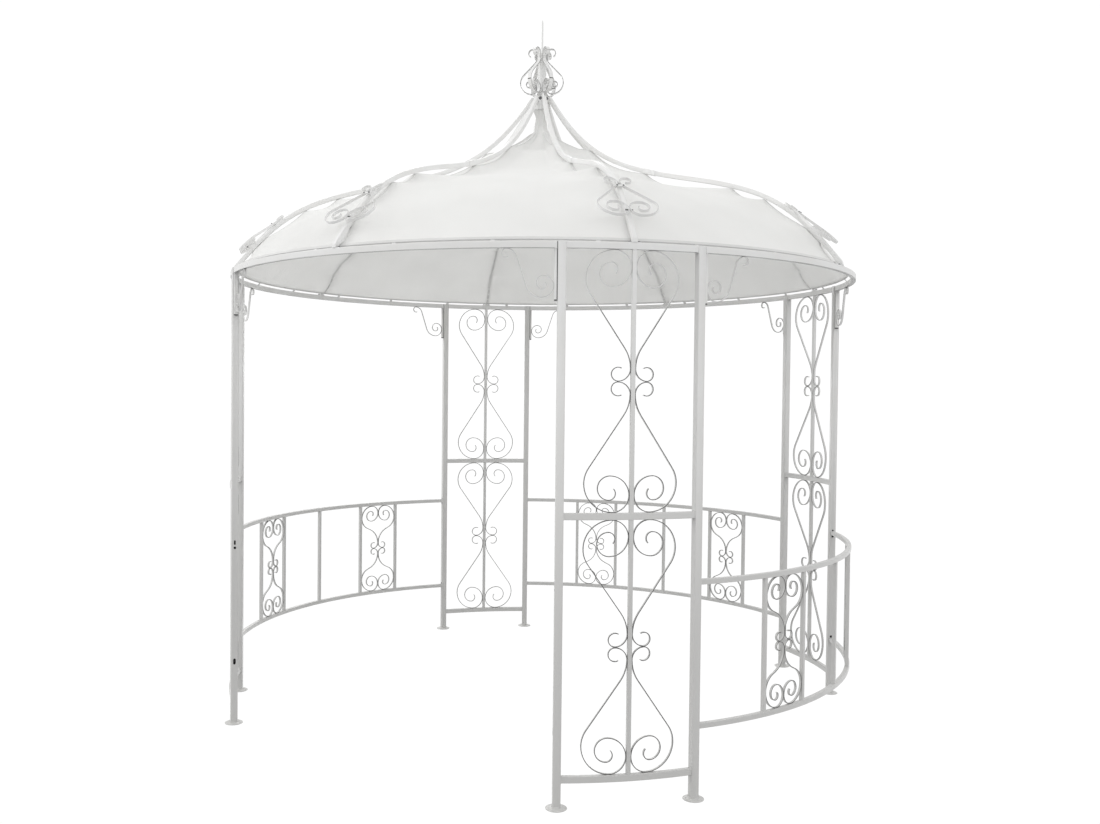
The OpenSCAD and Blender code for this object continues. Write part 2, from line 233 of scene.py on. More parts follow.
def powder_coat(name, colour, warm, low_shade=0.27, under=0.0, aloft=None):
    """baked powder: fine orange skin, slow drift of colour and gloss, rain film near the ground,
    and painted shade and light.  The share after the colours is how much painted shade
    greys the coat at knee height, for light that falls off low down; under is how much
    painted shade darkens sides that look down; aloft is a paler colour under the front of
    the roof, painted light where edges show against the lit canopy"""
    mat = bpy.data.materials.new(name)
    add = tree_of(mat)
    place = add("ShaderNodeTexCoord").outputs["Object"]
    drift = noise(add, place, drift_scale, 3.0, 0.55)
    mottle = noise(add, place, mottle_scale, 2.0)
    skin = noise(add, place, skin_scale, 1.5)
    tone = blend_colour(add, ramp(add, drift, 0.35, 0.65), colour, warm)
    tone = blend_colour(add, ramp(add, mottle, 0.30, 0.75, 0.0, 0.08), tone, speck_grey)
    spot = add("ShaderNodeSeparateXYZ", Vector=place).outputs
    # painted shade: the coat greys towards the ground, standing in for light that falls off low down
    shaded_low = tuple((1 - low_shade) * c for c in warm[:3]) + (1,)
    tone = blend_colour(add, ramp(add, spot["Z"], low_shade_none, low_shade_full), tone, shaded_low)
    # painted light: high at the front, under the roof, edges take a paler colour where they show against the
    # lit canopy
    if aloft:
        in_front = ramp(add, spot["Y"], front_y, -front_y)
        lit_front_share = ramp(add, spot["Z"], roof_low, roof_high, 0.0, in_front)
        tone = blend_colour(add, lit_front_share, tone, aloft)
    # painted shade: sides that look down are darkened towards a dark grey
    facing = add("ShaderNodeSeparateXYZ", Vector=add("ShaderNodeNewGeometry").outputs["Normal"]).outputs["Z"]
    tone = blend_colour(add, ramp(add, facing, -0.75, -0.95, 0.0, under), tone, underside_shade)
    wet = ramp(add, spot["Z"], rain_none, 0.0, 0.0, rain_share)
    patchy = add("ShaderNodeMath", "MULTIPLY", i0=wet, i1=ramp(add, mottle, 0.35, 0.62)).outputs[0]
    tone = blend_colour(add, patchy, tone, rain_film)
    bump = add("ShaderNodeBump", Strength=0.55, Distance=skin_depth, Height=skin).outputs[0]
    shell = add("ShaderNodeBsdfPrincipled", Normal=bump, Base_Color=tone,
                Roughness=ramp(add, drift, 0.3, 0.7, 0.33, 0.45), Specular_IOR_Level=0.45,
                Coat_Weight=0.12, Coat_Roughness=0.25)
    add("ShaderNodeOutputMaterial", Surface=shell.outputs[0])
    return mat


def flat_shade_coat(name, colour, warm, aloft=None):
    """coat of one tone all the way down: painted shade for sawn edges, joints, plugs and the cord"""
    return powder_coat(name, colour, warm, 0.0, 0.0, aloft)


# the tube coat carries painted shade on the sides that look down
tube_coat = powder_coat("white coat on tube", coat_white, coat_warm, under=0.8)
rib_coat = powder_coat("white coat on the ribs", coat_white, coat_warm)
strip_coat = powder_coat("white coat on flat bar", (0.84, 0.842, 0.837, 1), (0.815, 0.812, 0.80, 1))
# painted shade: the sawn edges of flat bar are near black, as edge-on strips in shade look, and paler high at
# the front
edge_shade_coat = flat_shade_coat("painted shade on the sawn edges of flat bar", (0.105, 0.105, 0.107, 1),
                      (0.085, 0.084, 0.083, 1), (0.66, 0.66, 0.655, 1))
# painted shade: the crest edges are grey for the thin dark lines of their edges in shade
crest_edge_shade = flat_shade_coat("painted shade on the edges of the crest", (0.66, 0.66, 0.657, 1), (0.62, 0.62, 0.617, 1))
# painted shade: the finial edges are dark grey for the dark lines of edges seen in shade
finial_edge_shade = flat_shade_coat("painted shade on the edges of the finial", (0.34, 0.34, 0.34, 1), (0.31, 0.31, 0.308, 1))
# painted shade: the joint strips and plugs are near black, for the shade in the joint
joint_shade_coat = flat_shade_coat("near-black painted shade of the joint strips and plugs", (0.085, 0.085, 0.085, 1),
                       (0.07, 0.07, 0.07, 1))
# painted shade: the cord's grey stands for the dark gap between hem and ring
cord_shade_coat = flat_shade_coat("grey cord as painted shade", (0.53, 0.53, 0.53, 1), (0.49, 0.49, 0.49, 1))
print("coats:", tube_coat.name, "and", strip_coat.name, "and", edge_shade_coat.name, "and", finial_edge_shade.name)

# %% [markdown]
# Bolts, nuts and washers are zinc plated and stay bare.  Zinc shows as a dull grey metal with
# darker blotches, and it looks nearly black in the shade.

# %% Dull zinc for bolts, and the dark inside of a slot
def dull_zinc(name, light, dark):
    """zinc plate with blotches and fine turning marks"""
    mat = bpy.data.materials.new(name)
    add = tree_of(mat)
    place = add("ShaderNodeTexCoord").outputs["Object"]
    blotch = noise(add, place, 240.0, 3.0, 0.6)
    marks = noise(add, place, 1500.0, 1.0)
    bump = add("ShaderNodeBump", Strength=0.3, Distance=0.00005, Height=marks).outputs[0]
    metal = add("ShaderNodeBsdfPrincipled", Normal=bump, Metallic=0.85,
                Base_Color=blend_colour(add, ramp(add, blotch, 0.35, 0.7), light, dark),
                Roughness=ramp(add, blotch, 0.3, 0.7, 0.38, 0.58))
    add("ShaderNodeOutputMaterial", Surface=metal.outputs[0])
    return mat


bolt_zinc = dull_zinc("dull zinc", (0.20, 0.20, 0.205, 1), (0.09, 0.09, 0.092, 1))
# bare steel with painted shade: the slot walls are near black for the shade inside the hollow post
slot_dark = dull_zinc("bare steel in painted shade inside the slots", (0.030, 0.030, 0.031, 1), (0.014, 0.014, 0.014, 1))
print("metals:", bolt_zinc.name, "and", slot_dark.name)

# %% [markdown]
# The canopy is a light woven polyester.  By day it glows: light that falls on the top comes
# through it and lights the underside, so the cloth mixes a plain surface with a translucent
# one.  The weave follows the sheet, so it reads the sheet's own UV map, in metres along and
# across each gore, and not the place in the room.

# %% Woven cloth that lets light through
def woven_cloth(name, colour, shade, map_name, threads=1500.0, through=0.43):
    """plain weave with slubs, slight creases and light coming through; threads is how many
    there are in a metre"""
    mat = bpy.data.materials.new(name)
    add = tree_of(mat)
    map_node = add("ShaderNodeUVMap")
    map_node.uv_map = map_name
    uv = map_node.outputs["UV"]
    split = add("ShaderNodeSeparateXYZ", Vector=uv).outputs

    def thread(value):
        angle = add("ShaderNodeMath", "MULTIPLY", i0=value, i1=threads * 2 * pi).outputs[0]
        wave = add("ShaderNodeMath", "SINE", i0=angle).outputs[0]
        return add("ShaderNodeMath", "MULTIPLY_ADD", i0=wave, i1=0.5, i2=0.5).outputs[0]

    def stretched(x, y):
        return add("ShaderNodeVectorMath", "MULTIPLY", i0=uv, i1=(x, y, 1.0)).outputs[0]

    weave = add("ShaderNodeMath", "MULTIPLY", i0=thread(split["X"]), i1=thread(split["Y"])).outputs[0]
    slub = noise(add, stretched(9.0, 260.0), 1.0, 2.0)
    cloud = noise(add, uv, 3.2, 3.0)
    crease = noise(add, stretched(7.0, 1.6), 1.6, 3.0, 0.45)
    tone = blend_colour(add, ramp(add, cloud, 0.3, 0.7), colour, shade)
    tone = blend_colour(add, ramp(add, slub, 0.45, 0.75, 0.0, 0.22), tone, shade)
    deep = tuple(0.93 * c for c in colour[:3]) + (1,)
    tone = blend_colour(add, ramp(add, weave, 0.5, 0.0, 0.0, 0.35), tone, deep)
    fine = add("ShaderNodeBump", Strength=0.35, Distance=0.00015, Height=weave).outputs[0]
    soft = add("ShaderNodeBump", Strength=0.55, Distance=0.006, Height=crease, Normal=fine).outputs[0]
    skin = add("ShaderNodeBsdfPrincipled", Normal=soft, Base_Color=tone,
               Roughness=ramp(add, cloud, 0.3, 0.7, 0.72, 0.86), Sheen_Weight=0.15, Sheen_Roughness=0.5,
               Specular_IOR_Level=0.25)
    glow = add("ShaderNodeBsdfTranslucent", Normal=soft, Color=tone)
    mix = add("ShaderNodeMixShader", i0=through, i1=skin.outputs[0], i2=glow.outputs[0])
    add("ShaderNodeOutputMaterial", Surface=mix.outputs[0])
    return mat


canopy_cloth = woven_cloth("woven canopy cloth", (0.945, 0.945, 0.936, 1), (0.915, 0.915, 0.905, 1), "cloth")
webbing = woven_cloth("white webbing", (0.84, 0.84, 0.83, 1), (0.76, 0.76, 0.75, 1), "tape", 700.0, 0.05)
print("cloths:", canopy_cloth.name, "and", webbing.name)

# %% [markdown]
# ## Stock and helpers
# Nearly all pieces come from two kinds of stock: square tube with rounded corners, and flat
# bar of 10 by 3 mm.  Both start as one small face with rounded corners.  A face could be
# extruded by hand each time, but bends are true arcs, so it is spun about the middle of each
# bend, which is what the bending machine does too.

# %% Sizes of the frame, in metres, and its directions in degrees
ring_r, post_angle = 1.475, 10.2
post_w, foot_d, foot_t = 0.030, 0.080, 0.005
beam_h, beam_d, rail_w, bar_w = 0.025, 0.020, 0.020, 0.016
strip_t, strip_d = 0.003, 0.010
strip_touch, strip_clear = 0.0002, 0.00015
low_rail_z, mid_rail_z, ring_z = 0.106, 1.055, 2.025
ring_top = ring_z + beam_h / 2
guard_low_z, guard_top_z = 0.272, 0.806
inner_bar_angle, outer_bar_angle = 12.3, 21.9
hanger_l, hanger_w = 0.188, 0.012
bay_half = 45 - post_angle
post_edge = degrees(post_w / 2 / ring_r)
bay_reach = bay_half - post_edge
panel_way = {"front": -45, "right": 45, "back": 135, "left": 225}
bay_way = {"entrance": -90, "right": 0, "back": 90, "left": 180}
closed_bays = ("right", "back", "left")
print("panels at", panel_way, "bays at", bay_way)

# %% A face with rounded corners, and a straight or a bent run of it
def rounded_face(wide, high, corner, steps=2):
    """new bmesh with one face, wide along x and high along y"""
    bm = bmesh.new()
    corners = bmesh.ops.create_grid(bm, x_segments=1, y_segments=1, size=0.5)["verts"]
    bmesh.ops.scale(bm, vec=(wide, high, 1), verts=corners)
    bmesh.ops.bevel(bm, geom=corners, offset=corner, offset_type="OFFSET", segments=steps,
                    affect="VERTICES", profile=0.5, material=-1)
    return bm, bm.faces[:][0]


def end_face(made):
    """the face that a run ends in"""
    return next(g for g in made["geom_last"] if isinstance(g, bmesh.types.BMFace))


def run_straight(bm, face, way):
    """carry the face on by a straight length"""
    return end_face(bmesh.ops.spin(bm, geom=[face], cent=(0, 0, 0), axis=(0, 0, 1), dvec=way,
                                   angle=0, steps=1, use_merge=False, use_duplicate=False))


def run_bent(bm, face, middle, axis, angle, steps):
    """carry the face round a bend"""
    return end_face(bmesh.ops.spin(bm, geom=[face], cent=middle, axis=axis, dvec=(0, 0, 0),
                                   angle=radians(angle), steps=steps, use_merge=False, use_duplicate=False))


def full_turn(bm, geom, steps):
    """spin open edges once round the upright axis into a closed skin"""
    bmesh.ops.spin(bm, geom=geom, cent=(0, 0, 0), axis=(0, 0, 1), dvec=(0, 0, 0),
                   angle=2 * pi, steps=steps, use_merge=True, use_duplicate=False)


print("runs ready")

# %% Keep a shape as stock, and set it into a piece
def keep(bm, name):
    """mesh to set in place many times; closed shapes face outwards"""
    bmesh.ops.recalc_face_normals(bm, faces=bm.faces)
    mesh = bpy.data.meshes.new(name)
    bm.to_mesh(mesh)
    bm.free()
    return mesh


def set_in(piece, mesh, where=Matrix()):
    """add a copy of the stock to the piece, moved by a matrix"""
    first = len(piece.verts)
    piece.from_mesh(mesh)
    piece.verts.ensure_lookup_table()
    bmesh.ops.transform(piece, matrix=where, verts=piece.verts[first:])


border_bend, border_ratio = radians(5), 5.0


def shade(mesh, smooth):
    """smooth faces, broken at sharp edges and where a flat side runs into its rounded corner"""
    bm = bmesh.new()
    bm.from_mesh(mesh)
    for face in bm.faces:
        face.smooth = True
    area = [face.calc_area() for face in bm.faces]
    for edge in bm.edges:
        if len(edge.link_faces) == 2:
            bend = edge.calc_face_angle(0.0)
            small, large = sorted(area[face.index] for face in edge.link_faces)
            border = bend > border_bend and large > border_ratio * small
            edge.smooth = bend < radians(smooth) and not border
    bm.to_mesh(mesh)
    bm.free()


def finish_piece(name, piece, coats, nodes=(), smooth=38.0):
    """mesh object at the origin that rides on the frame and stands for the nodes"""
    mesh = keep(piece, name)
    shade(mesh, smooth)
    for coat in coats:
        mesh.materials.append(coat)
    made = placed(name, mesh)
    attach(made, "root")
    if nodes:
        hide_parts(*nodes)
    print(f"{name}: {len(mesh.polygons)} faces")
    return made


def at(azimuth, radius=ring_r, z=0.0):
    """place on a circle: x points outwards, y round the ring, z up"""
    return turn("Z", azimuth) @ shift(radius, 0, z)


def chord(start, stop):
    """upright plane through two points of the ring: x from the first to the second, y up"""
    side = 1 if stop > start else -1
    foot = shift(ring_r * cos(radians(start)), ring_r * sin(radians(start)), 0)
    return foot @ turn("Z", (start + stop) / 2 + 90 * side) @ turn("X", 90)


def mirrored(axis):
    return Matrix.Scale(-1, 4, {"x": (1, 0, 0), "y": (0, 1, 0)}[axis])


print("one place:", at(-45).translation)

# %% [markdown]
# ## Posts
# Each post is a 30 mm square tube with rounded corners, capped at the top, that stands on a
# round pressed foot plate.  The side towards the bay has the two key slots that the railing
# hooks into and a bolt hole near the ring.  A tube could be a scaled cube with a bevel; here
# it is the rounded face carried up, so that the same helper serves every square tube.

# %% Straight tube, and a cap with a soft edge
def square_tube(length, wide, deep, corner, cap=0.0):
    """tube along z from 0 to length, with its ends drawn in by cap"""
    bm, face = rounded_face(wide, deep, corner, 3)
    drawn_in = (1 - 2 * cap / wide, 1 - 2 * cap / deep, 1)
    if cap:
        bmesh.ops.scale(bm, vec=drawn_in, verts=bm.verts)
        face = run_straight(bm, face, (0, 0, cap))
        grow = (wide / (wide - 2 * cap), deep / (deep - 2 * cap), 1)
        bmesh.ops.scale(bm, vec=grow, verts=face.verts)
    face = run_straight(bm, face, (0, 0, length - 2 * cap))
    if cap:
        face = run_straight(bm, face, (0, 0, cap))
        bmesh.ops.scale(bm, vec=drawn_in, verts=face.verts)
    return bm


post_stock = keep(square_tube(ring_top - foot_t / 2, post_w, post_w, 0.0028, 0.0012), "post tube")
print("post", round(ring_top, 4), "m high,", len(post_stock.polygons), "faces")

# %% Pressed foot plate
# half profile of the plate: radius and height
foot_high = 0.0078
foot_line = [(0.0, 0.0), (foot_d / 2 - 0.0015, 0.0), (foot_d / 2, 0.0012), (foot_d / 2 - 0.0006, 0.0030),
             (foot_d / 2 - 0.005, 0.0052), (0.030, 0.0066), (0.024, 0.0074), (0.0, foot_high)]


def lathed(line, steps=40):
    """closed body of a half profile of (radius, height) turned about z"""
    bm = bmesh.new()
    points = [bm.verts.new((r, 0, h)) for r, h in line]
    edges = [bm.edges.new(pair) for pair in zip(points, points[1:])]
    full_turn(bm, points + edges, steps)
    bmesh.ops.remove_doubles(bm, verts=bm.verts, dist=1e-6)
    return bm


foot_stock = keep(lathed(foot_line), "foot plate")
print("foot plate", len(foot_stock.polygons), "faces")

# %% Bolts with a low domed head, and beads of weld
washer_t, bolt_sunk = 0.0012, 0.0006


def bolt_head(across, high, washer=0.0):
    """domed head that stands along z, on a washer of a width if one is given"""
    r, w = across / 2, washer / 2
    if washer:
        line = [(w, 0.0008), (w - 0.0003, washer_t), (r, washer_t), (r, washer_t + 0.35 * high),
                (0.82 * r, washer_t + 0.75 * high), (0.0, washer_t + high)]
    else:
        line = [(r, 0.35 * high), (0.82 * r, 0.75 * high), (0.45 * r, 0.96 * high), (0.0, high)]
    return lathed([(0.0, -bolt_sunk), (w or r, -bolt_sunk)] + line, 14)


def weld_blob(bm, where, size):
    """small flattened bead of weld about a place"""
    first = len(bm.verts)
    bmesh.ops.create_icosphere(bm, subdivisions=2, radius=1.0)
    bm.verts.ensure_lookup_table()
    bmesh.ops.transform(bm, matrix=where @ Matrix.Diagonal((*size, 1)), verts=bm.verts[first:])


def weld_round(piece, middle, wide, share, thick, high):
    """a bead along each side of a square bar"""
    for way in (0, 90, 180, 270):
        weld_blob(piece, middle @ turn("Z", way) @ shift(wide / 2, 0, 0), (thick, wide / 2 * share, high))


small_bolt = keep(bolt_head(0.0085, 0.0034, 0.013), "small bolt")
hub_bolt = keep(bolt_head(0.011, 0.005, 0.016), "hub bolt")
print("bolts", len(small_bolt.polygons), "and", len(hub_bolt.polygons), "faces")

# %% Slots and holes in the side of a post
# (height, width, length) of each opening; the upper key slot ends in a wider round hole
post_holes = [(0.280, 0.0115, 0.027), (0.8135, 0.0075, 0.020), (0.790, 0.011, 0.012), (1.905, 0.009, 0.010)]
slot_depth, slot_over = 0.016, 0.004


def slot_cutter(z, wide, long, side):
    """rounded plug that goes into the side face of the post at height z and stands out of it"""
    bm, face = rounded_face(wide, long, wide / 2 * 0.999, 5)
    bmesh.ops.rotate(bm, cent=(0, 0, 0), matrix=turn("X", 90).to_3x3(), verts=bm.verts)
    run_straight(bm, face, (0, slot_depth + slot_over, 0))
    middle = side * (post_w / 2 + slot_over - slot_depth / 2)
    bmesh.ops.translate(bm, vec=(0, middle - (slot_depth + slot_over) / 2, z), verts=bm.verts)
    return bm


def cut_post(side):
    """post tube with the openings cut into its face towards the bay; the inside is bare steel, painted near
    black for the shade inside the hollow tube
    """
    body, plugs = bmesh.new(), bmesh.new()
    set_in(body, post_stock, shift(0, 0, foot_t / 2))
    for z, wide, long in post_holes:
        set_in(plugs, keep(slot_cutter(z, wide, long, side), "plug"))
    for face in plugs.faces:
        face.material_index = 1
    post, tool = placed("post", keep(body, "post body")), placed("plugs", keep(plugs, "plugs"))
    for mesh in (post.data, tool.data):
        mesh.materials.append(tube_coat)
        mesh.materials.append(slot_dark)
    cut = post.modifiers.new("cut", "BOOLEAN")
    cut.object, cut.operation, cut.solver = tool, "DIFFERENCE", "EXACT"
    shaped = bpy.data.meshes.new_from_object(post.evaluated_get(bpy.context.evaluated_depsgraph_get()))
    bpy.data.objects.remove(post)
    bpy.data.objects.remove(tool)
    return shaped


cut_posts = {side: cut_post(side) for side in (-1, 1)}
print("cut post", len(cut_posts[1].polygons), "faces")

# %% Set up the eight posts
posts_of_panel = {
    "front": ("front_left_post", "front_right_post"), "right": ("right_front_post", "right_back_post"),
    "back": ("back_right_post", "back_left_post"), "left": ("left_back_post", "left_front_post"),
}
for panel, way in panel_way.items():
    for side, node in zip((-1, 1), posts_of_panel[panel]):
        piece = bmesh.new()
        where = at(way + side * post_angle)
        set_in(piece, cut_posts[side], where)
        set_in(piece, foot_stock, where)
        weld_round(piece, where @ shift(0, 0, foot_high), post_w, 0.92, 0.0028, 0.0026)
        finish_piece("tube_" + node, piece, [tube_coat, slot_dark], [node])
print("post tops at", round(ring_top, 4), "m")

# %% [markdown]
# ## Rails, bars and railings
# The rails are square tube rolled to the radius of the ring, butted against the posts and
# welded.  A straight tube could be bent by a modifier, but its length would have to be worked
# out first; spinning the section about the middle of the gazebo gives the true rolled shape
# in one step.

# %% Rolled rail and the bars between rails
roll_step = 0.85


def rolled_rail(piece, start, stop, z, high, deep):
    """tube that follows the ring from one direction to another"""
    bm, face = rounded_face(deep, high, 0.0024)
    bm.transform(at(start, ring_r, z) @ turn("X", 90))
    run_bent(bm, face, (0, 0, 0), (0, 0, 1), stop - start, max(2, ceil(abs(stop - start) / roll_step)))
    set_in(piece, keep(bm, "rail"))


def upright_bar(piece, azimuth, low, top, joints):
    """square bar between two rails; joints are the heights where it is welded to their faces"""
    set_in(piece, keep(square_tube(top - low, bar_w, bar_w, 0.0020), "bar"), at(azimuth, ring_r, low))
    for z in joints:
        weld_round(piece, at(azimuth, ring_r, z), bar_w, 0.85, 0.0016, 0.0018)


def weld_ends(piece, azimuth, z):
    """bead round the end of a panel rail where it meets a post"""
    end = at(azimuth, ring_r, z)
    for up in (-1, 1):
        weld_blob(piece, end @ shift(0, 0, up * beam_h / 2), (rail_w / 2 * 0.9, 0.0022, 0.0018))
        weld_blob(piece, end @ shift(up * rail_w / 2, 0, 0), (0.0018, 0.0022, beam_h / 2 * 0.9))


tuck = 0.02
panel_faces = (low_rail_z + beam_h / 2, mid_rail_z - beam_h / 2, mid_rail_z + beam_h / 2, ring_z - beam_h / 2)
for panel, way in panel_way.items():
    piece = bmesh.new()
    reach = post_angle - post_edge
    for z in (low_rail_z, mid_rail_z, ring_z):
        rolled_rail(piece, way - reach - tuck, way + reach + tuck, z, beam_h, rail_w)
        for side in (-1, 1):
            weld_ends(piece, way + side * reach, z)
    upright_bar(piece, way, low_rail_z, ring_z, panel_faces)
    finish_piece(panel + "_rails_and_bar", piece, [tube_coat], [panel + "_panel_rails"])

# %% Railings of the three closed bays
guard_faces = (guard_low_z + rail_w / 2, guard_top_z - rail_w / 2)
for bay in closed_bays:
    way = bay_way[bay]
    piece = bmesh.new()
    for z in (guard_low_z, guard_top_z):
        rolled_rail(piece, way - bay_reach - tuck, way + bay_reach + tuck, z, rail_w, rail_w)
    for bar in (-outer_bar_angle, -inner_bar_angle, 0, inner_bar_angle, outer_bar_angle):
        upright_bar(piece, way + bar, guard_low_z, guard_top_z, guard_faces)
    finish_piece(bay + "_railing_tubes", piece, [tube_coat], [bay + "_railing"])

# %% [markdown]
# ## Scrolls
# Every S scroll is bent cold from one length of flat bar: a spiral in the foot, a belly that
# leans on the post, a straight run up to the neck at the middle bar and a small open curl.
# It could be a curve object with a bevel, but a bend after a bend, each with its own radius,
# is how the bender works and it keeps the width of the bar true.

# %% Bend a flat bar along a list of (radius, turn) and (length, 0)
fine_turn = 7.5


def bend_strip(steps, x, y, deep=strip_d):
    """flat bar in the XY plane, 3 mm thick in the plane and deep across it.
    Gives the stock mesh and the place and heading at the end of every step."""
    heading = 225
    bm, face = rounded_face(strip_t, deep, 0.0005, 1)
    bm.transform(shift(x, y, 0) @ turn("Z", heading - 90) @ turn("X", 90))
    marks = []
    for radius, angle in steps:
        way = radians(heading)
        if angle:
            side = 1 if angle > 0 else -1
            mx, my = x - side * radius * sin(way), y + side * radius * cos(way)
            face = run_bent(bm, face, (mx, my, 0), (0, 0, 1), angle, max(1, ceil(abs(angle) / fine_turn)))
            heading += angle
            x, y = mx + side * radius * sin(radians(heading)), my - side * radius * cos(radians(heading))
        else:
            face = run_straight(bm, face, (radius * cos(way), radius * sin(way), 0))
            x, y = x + radius * cos(way), y + radius * sin(way)
        marks.append((x, y, heading))
    bmesh.ops.recalc_face_normals(bm, faces=bm.faces)
    # the sawn edges take the second coat, which is painted shade
    for side in bm.faces:
        side.material_index = int(abs(side.normal.z) > 0.5)
    return keep(bm, "scroll"), marks


# shares of the width of a scroll: the spiral from the inside out, the bends out of the belly
# and into the neck, the straight run at the neck, the curl, and the turns that end the curl
common_shape = ((0.145, 0.253, 0.277, 0.422, 0.373), 0.6, 0.81, 0, 0.27, 0.15, (90, 90, 30))
finial_shape = ((0.12, 0.17, 0.17, 0.47, 0.30), 0.7, 0.43, 0.3, 0.27, 0.24, (90, 65))
spiral_start, half_root = 135, sqrt(0.5)


def s_scroll(reach, neck, high, ease=1.0, curls=0.0, deep=strip_d, shape=common_shape):
    """S scroll with its foot on y = 0, its belly at x = reach, its neck at x = neck.
    curls is the width that its curls are shares of, if that isn't the width from neck to belly;
    ease makes the bends between belly and neck tighter."""
    k = curls or reach - neck
    s, belly_out, neck_bend, hold, curl_in, curl_out, curl_turns = shape
    belly_in = 1 - s[4]
    bend = (belly_out + neck_bend) * k * ease
    rise = high - k * (belly_in + hold + curl_in)
    over = reach - neck
    line = sqrt((over - bend) ** 2 + rise ** 2 - bend ** 2)
    lean = degrees(atan2(over - bend, rise) + atan2(bend, line))
    x0 = reach - k * (belly_in + s[0] * half_root + s[1] - s[2] - s[3] + s[4])
    y0 = -k * (-s[0] * (1 + half_root) + s[1] + s[2] - s[3] - s[4])
    steps = [(k * s[0], spiral_start)] + [(k * s[i], 90) for i in range(1, 5)]
    steps += [(k * belly_in, 90), (k * ease * belly_out, lean), (line, 0), (k * ease * neck_bend, -lean)]
    steps += [(k * hold, 0)] if hold else []
    steps += [(k * curl_in, -90)] + [(k * curl_out, -angle) for angle in curl_turns]
    return bend_strip(steps, x0, y0, deep)


# the steps whose ends touch a rail, the post, the middle bar and the scroll above
foot_mark, belly_mark, neck_mark, crown_mark = 4, 5, 8, 9


def weld_scroll(piece, marks, where, which, bead=0.0013, deep=strip_d):
    """weld beads where the scroll touches its neighbours"""
    for mark in which:
        x, y, heading = marks[mark]
        out = -strip_t / 2 if mark < 6 else strip_t / 2
        spot = where @ shift(x, y, 0) @ turn("Z", heading) @ shift(0, out, 0)
        for face_side in (-1, 1):
            weld_blob(piece, spot @ shift(0, 0, face_side * deep * 0.30), (0.0030, bead, deep * 0.18))


print("an S scroll has", len(common_shape[0]) + len(common_shape[-1]) + 5, "bends and runs")

# %% Scrolls of the ladder panels
panel_reach = 0.175
panel_neck = bar_w / 2 + strip_t / 2 - strip_touch
seat = strip_t / 2 - strip_touch
for panel, way in panel_way.items():
    piece = bmesh.new()
    for low, top in ((low_rail_z, mid_rail_z), (mid_rail_z, ring_z)):
        z0, z1 = low + beam_h / 2, top - beam_h / 2
        stock, marks = s_scroll(panel_reach, panel_neck, (z1 - z0) / 2 - strip_t + strip_touch - strip_clear)
        for side in (-1, 1):
            plane = chord(way, way + side * post_angle)
            for where in (plane @ shift(0, z0 + seat, 0), plane @ shift(0, z1 - seat, 0) @ mirrored("y")):
                set_in(piece, stock, where)
                weld_scroll(piece, marks, where, (foot_mark, neck_mark, crown_mark))
    finish_piece(panel + "_scrollwork", piece, [strip_coat, edge_shade_coat], [panel + "_panel_scrolls"])

# %% Scrolls of the railings
guard_high = (guard_top_z - guard_low_z - rail_w) / 2 - strip_t + strip_touch - strip_clear
frame_width = 2 * ring_r * sin(radians((outer_bar_angle - inner_bar_angle) / 2))
guard_reach = frame_width / 2 - bar_w / 2 - seat
guard_foot, guard_head = guard_low_z + rail_w / 2 + seat, guard_top_z - rail_w / 2 - seat
stock, marks = s_scroll(guard_reach, strip_t / 2 + strip_clear, guard_high)
for bay in closed_bays:
    piece = bmesh.new()
    for end in (-1, 1):
        plane = chord(bay_way[bay] + end * inner_bar_angle, bay_way[bay] + end * outer_bar_angle)
        for flip in (Matrix(), mirrored("x")):
            for lift in (shift(0, guard_foot, 0), shift(0, guard_head, 0) @ mirrored("y")):
                where = plane @ shift(frame_width / 2, 0, 0) @ flip @ lift
                set_in(piece, stock, where)
                weld_scroll(piece, marks, where, (foot_mark, belly_mark, neck_mark, crown_mark), 0.0018)
    finish_piece(bay + "_railing_scrollwork", piece, [strip_coat, edge_shade_coat], [bay + "_railing_scrolls"])

# %% [markdown]
# ## Ring beams and corner brackets
# A length of rolled tube closes the ring over each bay.  A short upright bar is welded under
# each of its ends and bolted to the post.  A thin near-black strip in the gap to the post and a
# near-black plug at its foot are painted shade of the joint.  A scroll bracket fills the corner.

